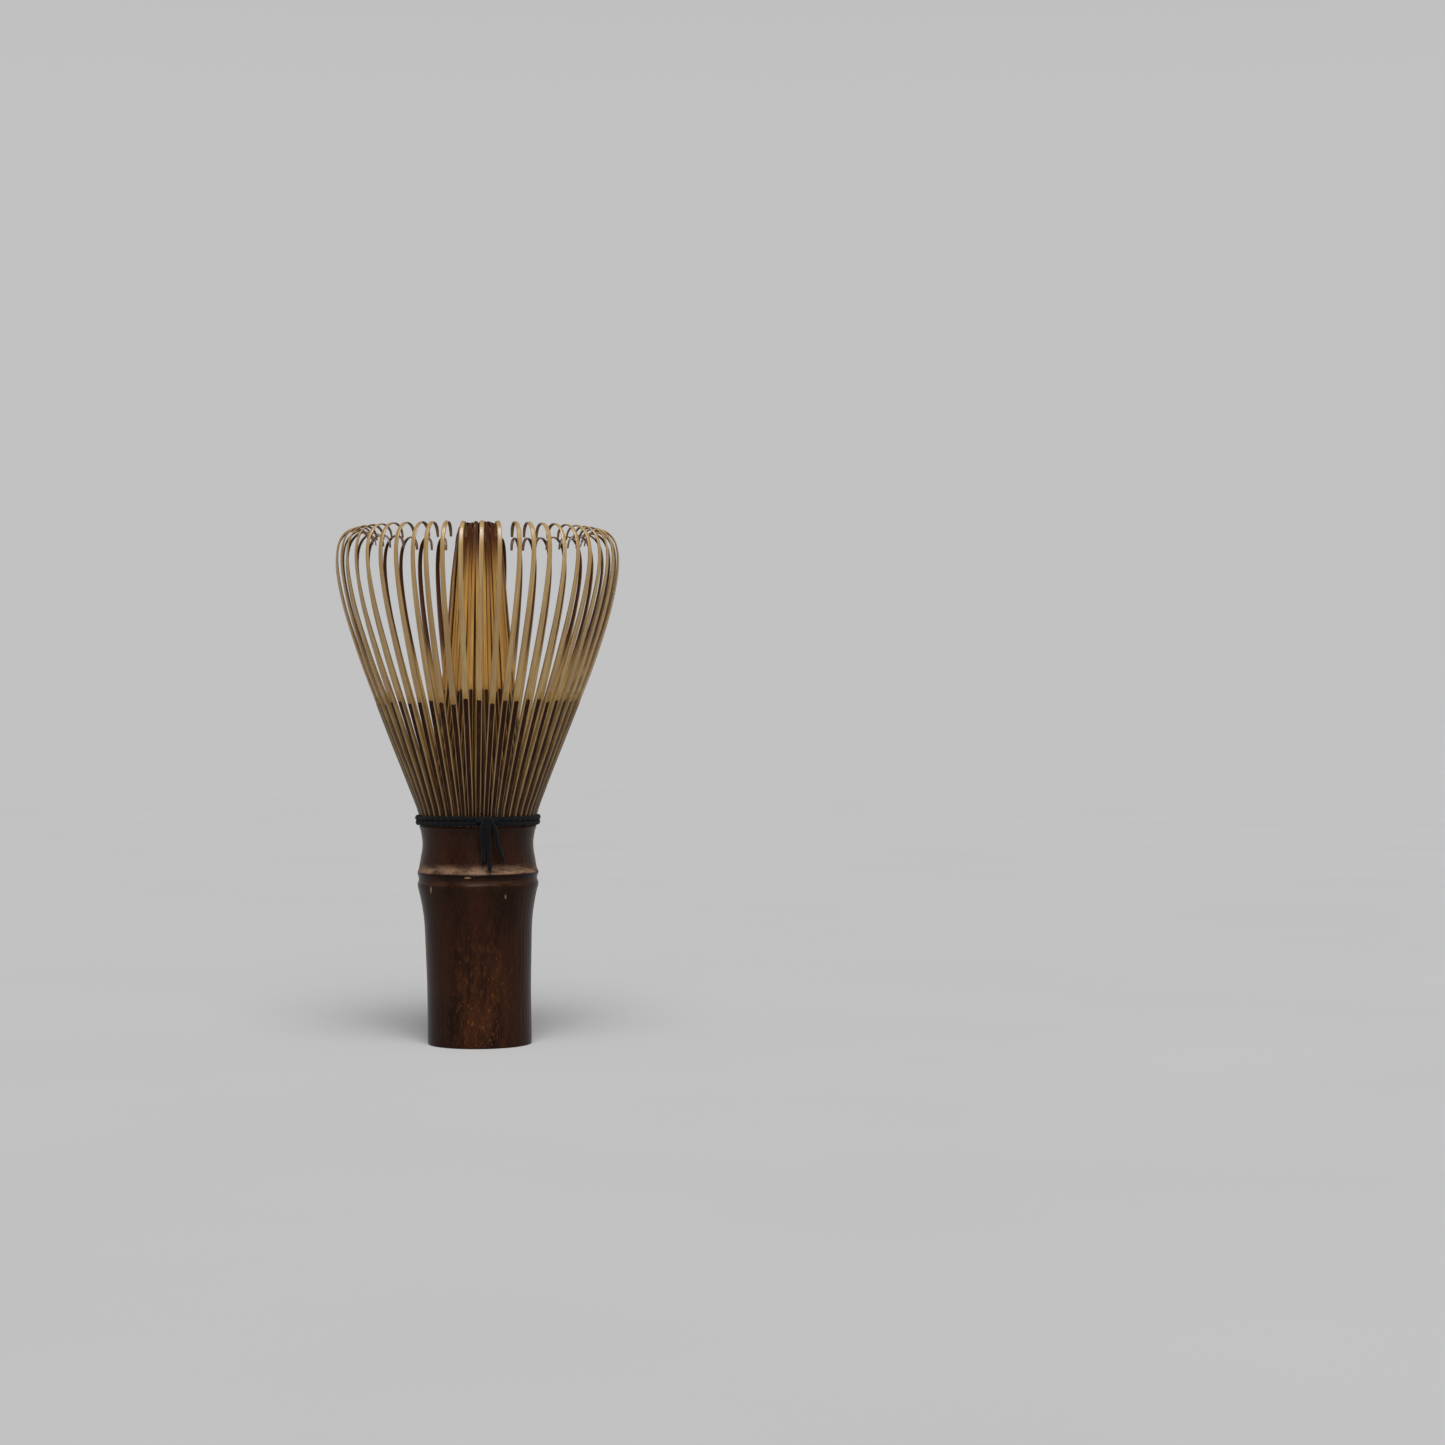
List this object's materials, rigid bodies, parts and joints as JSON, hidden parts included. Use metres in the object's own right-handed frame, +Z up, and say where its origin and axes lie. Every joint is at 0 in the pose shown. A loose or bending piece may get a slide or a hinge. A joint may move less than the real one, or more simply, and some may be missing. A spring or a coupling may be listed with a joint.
{
  "type": "bamboo tea whisk",
  "caption": "Upright tea whisk of dark bamboo: a short hollow handle with a ridged node, a black thread band, a flared cage of hooked tines and a closed inner bundle.",
  "frame": {"origin": "centre of the cut end of the handle that the whisk stands on", "axes": "+Z up along the handle towards the tips of the tines, -Y towards the thread's knot (the front), +X to the right seen from the front"},
  "size_m": [0.0639, 0.0639, 0.1178],
  "materials": {
    "handle_bamboo": "satin",
    "pith_bamboo": "matte",
    "outer_tine_bamboo": "satin",
    "inner_tine_bamboo": "satin",
    "thread": "matte"
  },
  "bodies": {
    "whisk_base": {"handle": "handle_bamboo", "node_diaphragm": "pith_bamboo", "thread_lower_weave": "thread", "thread_upper_weave": "thread", "thread_inner_weave": "thread", "thread_knot": "thread", "thread_tail_left": "thread", "thread_tail_right": "thread"},
    "outer_tine_01": {"outer_tine_01": "outer_tine_bamboo"},
    "outer_tine_02": {"outer_tine_02": "outer_tine_bamboo"},
    "outer_tine_03": {"outer_tine_03": "outer_tine_bamboo"},
    "outer_tine_04": {"outer_tine_04": "outer_tine_bamboo"},
    "outer_tine_05": {"outer_tine_05": "outer_tine_bamboo"},
    "outer_tine_06": {"outer_tine_06": "outer_tine_bamboo"},
    "outer_tine_07": {"outer_tine_07": "outer_tine_bamboo"},
    "outer_tine_08": {"outer_tine_08": "outer_tine_bamboo"},
    "outer_tine_09": {"outer_tine_09": "outer_tine_bamboo"},
    "outer_tine_10": {"outer_tine_10": "outer_tine_bamboo"},
    "outer_tine_11": {"outer_tine_11": "outer_tine_bamboo"},
    "outer_tine_12": {"outer_tine_12": "outer_tine_bamboo"},
    "outer_tine_13": {"outer_tine_13": "outer_tine_bamboo"},
    "outer_tine_14": {"outer_tine_14": "outer_tine_bamboo"},
    "outer_tine_15": {"outer_tine_15": "outer_tine_bamboo"},
    "outer_tine_16": {"outer_tine_16": "outer_tine_bamboo"},
    "outer_tine_17": {"outer_tine_17": "outer_tine_bamboo"},
    "outer_tine_18": {"outer_tine_18": "outer_tine_bamboo"},
    "outer_tine_19": {"outer_tine_19": "outer_tine_bamboo"},
    "outer_tine_20": {"outer_tine_20": "outer_tine_bamboo"},
    "outer_tine_21": {"outer_tine_21": "outer_tine_bamboo"},
    "outer_tine_22": {"outer_tine_22": "outer_tine_bamboo"},
    "outer_tine_23": {"outer_tine_23": "outer_tine_bamboo"},
    "outer_tine_24": {"outer_tine_24": "outer_tine_bamboo"},
    "outer_tine_25": {"outer_tine_25": "outer_tine_bamboo"},
    "outer_tine_26": {"outer_tine_26": "outer_tine_bamboo"},
    "outer_tine_27": {"outer_tine_27": "outer_tine_bamboo"},
    "outer_tine_28": {"outer_tine_28": "outer_tine_bamboo"},
    "outer_tine_29": {"outer_tine_29": "outer_tine_bamboo"},
    "outer_tine_30": {"outer_tine_30": "outer_tine_bamboo"},
    "outer_tine_31": {"outer_tine_31": "outer_tine_bamboo"},
    "outer_tine_32": {"outer_tine_32": "outer_tine_bamboo"},
    "outer_tine_33": {"outer_tine_33": "outer_tine_bamboo"},
    "outer_tine_34": {"outer_tine_34": "outer_tine_bamboo"},
    "outer_tine_35": {"outer_tine_35": "outer_tine_bamboo"},
    "outer_tine_36": {"outer_tine_36": "outer_tine_bamboo"},
    "outer_tine_37": {"outer_tine_37": "outer_tine_bamboo"},
    "outer_tine_38": {"outer_tine_38": "outer_tine_bamboo"},
    "outer_tine_39": {"outer_tine_39": "outer_tine_bamboo"},
    "outer_tine_40": {"outer_tine_40": "outer_tine_bamboo"},
    "outer_tine_41": {"outer_tine_41": "outer_tine_bamboo"},
    "outer_tine_42": {"outer_tine_42": "outer_tine_bamboo"},
    "outer_tine_43": {"outer_tine_43": "outer_tine_bamboo"},
    "outer_tine_44": {"outer_tine_44": "outer_tine_bamboo"},
    "outer_tine_45": {"outer_tine_45": "outer_tine_bamboo"},
    "outer_tine_46": {"outer_tine_46": "outer_tine_bamboo"},
    "outer_tine_47": {"outer_tine_47": "outer_tine_bamboo"},
    "outer_tine_48": {"outer_tine_48": "outer_tine_bamboo"},
    "inner_tines_front": {"inner_tines_front": "inner_tine_bamboo"},
    "inner_tines_right": {"inner_tines_right": "inner_tine_bamboo"},
    "inner_tines_back": {"inner_tines_back": "inner_tine_bamboo"},
    "inner_tines_left": {"inner_tines_left": "inner_tine_bamboo"}
  },
  "joints": [
    {"name": "outer_tine_01_flex", "type": "hinge", "parent": "whisk_base", "child": "outer_tine_01", "pos_m": [0.00113, -0.01265, 0.0506], "axis": [0.996, 0.0889, 0], "range_deg": [-10, 6], "stiffness_Nm_per_rad": 0.007},
    {"name": "outer_tine_02_flex", "type": "hinge", "parent": "whisk_base", "child": "outer_tine_02", "pos_m": [0.00281, -0.01238, 0.0506], "axis": [0.9751, 0.2215, 0], "range_deg": [-10, 6], "stiffness_Nm_per_rad": 0.007},
    {"name": "outer_tine_03_flex", "type": "hinge", "parent": "whisk_base", "child": "outer_tine_03", "pos_m": [0.00434, -0.01193, 0.0506], "axis": [0.9397, 0.342, 0], "range_deg": [-10, 6], "stiffness_Nm_per_rad": 0.007},
    {"name": "outer_tine_04_flex", "type": "hinge", "parent": "whisk_base", "child": "outer_tine_04", "pos_m": [0.00553, -0.01143, 0.0506], "axis": [0.9003, 0.4352, 0], "range_deg": [-10, 6], "stiffness_Nm_per_rad": 0.007},
    {"name": "outer_tine_05_flex", "type": "hinge", "parent": "whisk_base", "child": "outer_tine_05", "pos_m": [0.00679, -0.01073, 0.0506], "axis": [0.8453, 0.5344, 0], "range_deg": [-10, 6], "stiffness_Nm_per_rad": 0.007},
    {"name": "outer_tine_06_flex", "type": "hinge", "parent": "whisk_base", "child": "outer_tine_06", "pos_m": [0.00801, -0.00986, 0.0506], "axis": [0.776, 0.6307, 0], "range_deg": [-10, 6], "stiffness_Nm_per_rad": 0.007},
    {"name": "outer_tine_07_flex", "type": "hinge", "parent": "whisk_base", "child": "outer_tine_07", "pos_m": [0.00917, -0.00879, 0.0506], "axis": [0.6921, 0.7218, 0], "range_deg": [-10, 6], "stiffness_Nm_per_rad": 0.007},
    {"name": "outer_tine_08_flex", "type": "hinge", "parent": "whisk_base", "child": "outer_tine_08", "pos_m": [0.0102, -0.00757, 0.0506], "axis": [0.5962, 0.8028, 0], "range_deg": [-10, 6], "stiffness_Nm_per_rad": 0.007},
    {"name": "outer_tine_09_flex", "type": "hinge", "parent": "whisk_base", "child": "outer_tine_09", "pos_m": [0.0111, -0.00618, 0.0506], "axis": [0.4863, 0.8738, 0], "range_deg": [-10, 6], "stiffness_Nm_per_rad": 0.007},
    {"name": "outer_tine_10_flex", "type": "hinge", "parent": "whisk_base", "child": "outer_tine_10", "pos_m": [0.01181, -0.00468, 0.0506], "axis": [0.3681, 0.9298, 0], "range_deg": [-10, 6], "stiffness_Nm_per_rad": 0.007},
    {"name": "outer_tine_11_flex", "type": "hinge", "parent": "whisk_base", "child": "outer_tine_11", "pos_m": [0.01232, -0.00307, 0.0506], "axis": [0.2419, 0.9703, 0], "range_deg": [-10, 6], "stiffness_Nm_per_rad": 0.007},
    {"name": "outer_tine_12_flex", "type": "hinge", "parent": "whisk_base", "child": "outer_tine_12", "pos_m": [0.01262, -0.00142, 0.0506], "axis": [0.1115, 0.9938, 0], "range_deg": [-10, 6], "stiffness_Nm_per_rad": 0.007},
    {"name": "outer_tine_13_flex", "type": "hinge", "parent": "whisk_base", "child": "outer_tine_13", "pos_m": [0.0127, 0.00029, 0.0506], "axis": [-0.0227, 0.9997, 0], "range_deg": [-10, 6], "stiffness_Nm_per_rad": 0.007},
    {"name": "outer_tine_14_flex", "type": "hinge", "parent": "whisk_base", "child": "outer_tine_14", "pos_m": [0.01254, 0.00199, 0.0506], "axis": [-0.1564, 0.9877, 0], "range_deg": [-10, 6], "stiffness_Nm_per_rad": 0.007},
    {"name": "outer_tine_15_flex", "type": "hinge", "parent": "whisk_base", "child": "outer_tine_15", "pos_m": [0.01217, 0.00363, 0.0506], "axis": [-0.2857, 0.9583, 0], "range_deg": [-10, 6], "stiffness_Nm_per_rad": 0.007},
    {"name": "outer_tine_16_flex", "type": "hinge", "parent": "whisk_base", "child": "outer_tine_16", "pos_m": [0.01158, 0.00521, 0.0506], "axis": [-0.4099, 0.9121, 0], "range_deg": [-10, 6], "stiffness_Nm_per_rad": 0.007},
    {"name": "outer_tine_17_flex", "type": "hinge", "parent": "whisk_base", "child": "outer_tine_17", "pos_m": [0.01081, 0.00667, 0.0506], "axis": [-0.5255, 0.8508, 0], "range_deg": [-10, 6], "stiffness_Nm_per_rad": 0.007},
    {"name": "outer_tine_18_flex", "type": "hinge", "parent": "whisk_base", "child": "outer_tine_18", "pos_m": [0.00981, 0.00806, 0.0506], "axis": [-0.6347, 0.7727, 0], "range_deg": [-10, 6], "stiffness_Nm_per_rad": 0.007},
    {"name": "outer_tine_19_flex", "type": "hinge", "parent": "whisk_base", "child": "outer_tine_19", "pos_m": [0.00856, 0.00938, 0.0506], "axis": [-0.7385, 0.6743, 0], "range_deg": [-10, 6], "stiffness_Nm_per_rad": 0.007},
    {"name": "outer_tine_20_flex", "type": "hinge", "parent": "whisk_base", "child": "outer_tine_20", "pos_m": [0.0071, 0.01053, 0.0506], "axis": [-0.829, 0.5592, 0], "range_deg": [-10, 6], "stiffness_Nm_per_rad": 0.007},
    {"name": "outer_tine_21_flex", "type": "hinge", "parent": "whisk_base", "child": "outer_tine_21", "pos_m": [0.00571, 0.01135, 0.0506], "axis": [-0.8934, 0.4493, 0], "range_deg": [-10, 6], "stiffness_Nm_per_rad": 0.007},
    {"name": "outer_tine_22_flex", "type": "hinge", "parent": "whisk_base", "child": "outer_tine_22", "pos_m": [0.00424, 0.01197, 0.0506], "axis": [-0.9426, 0.3338, 0], "range_deg": [-10, 6], "stiffness_Nm_per_rad": 0.007},
    {"name": "outer_tine_23_flex", "type": "hinge", "parent": "whisk_base", "child": "outer_tine_23", "pos_m": [0.00294, 0.01235, 0.0506], "axis": [-0.9728, 0.2317, 0], "range_deg": [-10, 6], "stiffness_Nm_per_rad": 0.007},
    {"name": "outer_tine_24_flex", "type": "hinge", "parent": "whisk_base", "child": "outer_tine_24", "pos_m": [0.00139, 0.01262, 0.0506], "axis": [-0.994, 0.1097, 0], "range_deg": [-10, 6], "stiffness_Nm_per_rad": 0.007},
    {"name": "outer_tine_25_flex", "type": "hinge", "parent": "whisk_base", "child": "outer_tine_25", "pos_m": [-0.00011, 0.0127, 0.0506], "axis": [-1, -0.0087, 0], "range_deg": [-10, 6], "stiffness_Nm_per_rad": 0.007},
    {"name": "outer_tine_26_flex", "type": "hinge", "parent": "whisk_base", "child": "outer_tine_26", "pos_m": [-0.00161, 0.0126, 0.0506], "axis": [-0.9919, -0.1271, 0], "range_deg": [-10, 6], "stiffness_Nm_per_rad": 0.007},
    {"name": "outer_tine_27_flex", "type": "hinge", "parent": "whisk_base", "child": "outer_tine_27", "pos_m": [-0.00312, 0.01231, 0.0506], "axis": [-0.9694, -0.2453, 0], "range_deg": [-10, 6], "stiffness_Nm_per_rad": 0.007},
    {"name": "outer_tine_28_flex", "type": "hinge", "parent": "whisk_base", "child": "outer_tine_28", "pos_m": [-0.00488, 0.01172, 0.0506], "axis": [-0.9232, -0.3843, 0], "range_deg": [-10, 6], "stiffness_Nm_per_rad": 0.007},
    {"name": "outer_tine_29_flex", "type": "hinge", "parent": "whisk_base", "child": "outer_tine_29", "pos_m": [-0.00641, 0.01097, 0.0506], "axis": [-0.8634, -0.5045, 0], "range_deg": [-10, 6], "stiffness_Nm_per_rad": 0.007},
    {"name": "outer_tine_30_flex", "type": "hinge", "parent": "whisk_base", "child": "outer_tine_30", "pos_m": [-0.00799, 0.00987, 0.0506], "axis": [-0.7771, -0.6293, 0], "range_deg": [-10, 6], "stiffness_Nm_per_rad": 0.007},
    {"name": "outer_tine_31_flex", "type": "hinge", "parent": "whisk_base", "child": "outer_tine_31", "pos_m": [-0.00933, 0.00861, 0.0506], "axis": [-0.6782, -0.7349, 0], "range_deg": [-10, 6], "stiffness_Nm_per_rad": 0.007},
    {"name": "outer_tine_32_flex", "type": "hinge", "parent": "whisk_base", "child": "outer_tine_32", "pos_m": [-0.01063, 0.00695, 0.0506], "axis": [-0.5476, -0.8368, 0], "range_deg": [-10, 6], "stiffness_Nm_per_rad": 0.007},
    {"name": "outer_tine_33_flex", "type": "hinge", "parent": "whisk_base", "child": "outer_tine_33", "pos_m": [-0.0116, 0.00517, 0.0506], "axis": [-0.4067, -0.9135, 0], "range_deg": [-10, 6], "stiffness_Nm_per_rad": 0.007},
    {"name": "outer_tine_34_flex", "type": "hinge", "parent": "whisk_base", "child": "outer_tine_34", "pos_m": [-0.01228, 0.00324, 0.0506], "axis": [-0.2554, -0.9668, 0], "range_deg": [-10, 6], "stiffness_Nm_per_rad": 0.007},
    {"name": "outer_tine_35_flex", "type": "hinge", "parent": "whisk_base", "child": "outer_tine_35", "pos_m": [-0.0126, 0.00157, 0.0506], "axis": [-0.1236, -0.9923, 0], "range_deg": [-10, 6], "stiffness_Nm_per_rad": 0.007},
    {"name": "outer_tine_36_flex", "type": "hinge", "parent": "whisk_base", "child": "outer_tine_36", "pos_m": [-0.0127, -0.00013, 0.0506], "axis": [0.0105, -0.9999, 0], "range_deg": [-10, 6], "stiffness_Nm_per_rad": 0.007},
    {"name": "outer_tine_37_flex", "type": "hinge", "parent": "whisk_base", "child": "outer_tine_37", "pos_m": [-0.01257, -0.00181, 0.0506], "axis": [0.1426, -0.9898, 0], "range_deg": [-10, 6], "stiffness_Nm_per_rad": 0.007},
    {"name": "outer_tine_38_flex", "type": "hinge", "parent": "whisk_base", "child": "outer_tine_38", "pos_m": [-0.01221, -0.00348, 0.0506], "axis": [0.274, -0.9617, 0], "range_deg": [-10, 6], "stiffness_Nm_per_rad": 0.007},
    {"name": "outer_tine_39_flex", "type": "hinge", "parent": "whisk_base", "child": "outer_tine_39", "pos_m": [-0.01164, -0.00508, 0.0506], "axis": [0.4003, -0.9164, 0], "range_deg": [-10, 6], "stiffness_Nm_per_rad": 0.007},
    {"name": "outer_tine_40_flex", "type": "hinge", "parent": "whisk_base", "child": "outer_tine_40", "pos_m": [-0.01086, -0.00658, 0.0506], "axis": [0.518, -0.8554, 0], "range_deg": [-10, 6], "stiffness_Nm_per_rad": 0.007},
    {"name": "outer_tine_41_flex", "type": "hinge", "parent": "whisk_base", "child": "outer_tine_41", "pos_m": [-0.00988, -0.00798, 0.0506], "axis": [0.628, -0.7782, 0], "range_deg": [-10, 6], "stiffness_Nm_per_rad": 0.007},
    {"name": "outer_tine_42_flex", "type": "hinge", "parent": "whisk_base", "child": "outer_tine_42", "pos_m": [-0.00873, -0.00923, 0.0506], "axis": [0.7266, -0.6871, 0], "range_deg": [-10, 6], "stiffness_Nm_per_rad": 0.007},
    {"name": "outer_tine_43_flex", "type": "hinge", "parent": "whisk_base", "child": "outer_tine_43", "pos_m": [-0.00743, -0.0103, 0.0506], "axis": [0.8111, -0.585, 0], "range_deg": [-10, 6], "stiffness_Nm_per_rad": 0.007},
    {"name": "outer_tine_44_flex", "type": "hinge", "parent": "whisk_base", "child": "outer_tine_44", "pos_m": [-0.00606, -0.01116, 0.0506], "axis": [0.8788, -0.4772, 0], "range_deg": [-10, 6], "stiffness_Nm_per_rad": 0.007},
    {"name": "outer_tine_45_flex", "type": "hinge", "parent": "whisk_base", "child": "outer_tine_45", "pos_m": [-0.00463, -0.01182, 0.0506], "axis": [0.9311, -0.3649, 0], "range_deg": [-10, 6], "stiffness_Nm_per_rad": 0.007},
    {"name": "outer_tine_46_flex", "type": "hinge", "parent": "whisk_base", "child": "outer_tine_46", "pos_m": [-0.00333, -0.01226, 0.0506], "axis": [0.965, -0.2622, 0], "range_deg": [-10, 6], "stiffness_Nm_per_rad": 0.007},
    {"name": "outer_tine_47_flex", "type": "hinge", "parent": "whisk_base", "child": "outer_tine_47", "pos_m": [-0.0019, -0.01256, 0.0506], "axis": [0.9888, -0.1495, 0], "range_deg": [-10, 6], "stiffness_Nm_per_rad": 0.007},
    {"name": "outer_tine_48_flex", "type": "hinge", "parent": "whisk_base", "child": "outer_tine_48", "pos_m": [-0.00038, -0.01269, 0.0506], "axis": [0.9996, -0.0297, 0], "range_deg": [-10, 6], "stiffness_Nm_per_rad": 0.007},
    {"name": "inner_tines_front_flex", "type": "hinge", "parent": "whisk_base", "child": "inner_tines_front", "pos_m": [-0.00007, -0.0116, 0.0506], "axis": [1, -0.0061, 0], "range_deg": [0, 5], "stiffness_Nm_per_rad": 0.04},
    {"name": "inner_tines_right_flex", "type": "hinge", "parent": "whisk_base", "child": "inner_tines_right", "pos_m": [0.0116, -0.00007, 0.0506], "axis": [0.0061, 1, 0], "range_deg": [0, 5], "stiffness_Nm_per_rad": 0.04},
    {"name": "inner_tines_back_flex", "type": "hinge", "parent": "whisk_base", "child": "inner_tines_back", "pos_m": [0.00007, 0.0116, 0.0506], "axis": [-1, 0.0061, 0], "range_deg": [0, 5], "stiffness_Nm_per_rad": 0.04},
    {"name": "inner_tines_left_flex", "type": "hinge", "parent": "whisk_base", "child": "inner_tines_left", "pos_m": [-0.0116, 0.00007, 0.0506], "axis": [-0.0061, -1, 0], "range_deg": [0, 5], "stiffness_Nm_per_rad": 0.04}
  ]
}
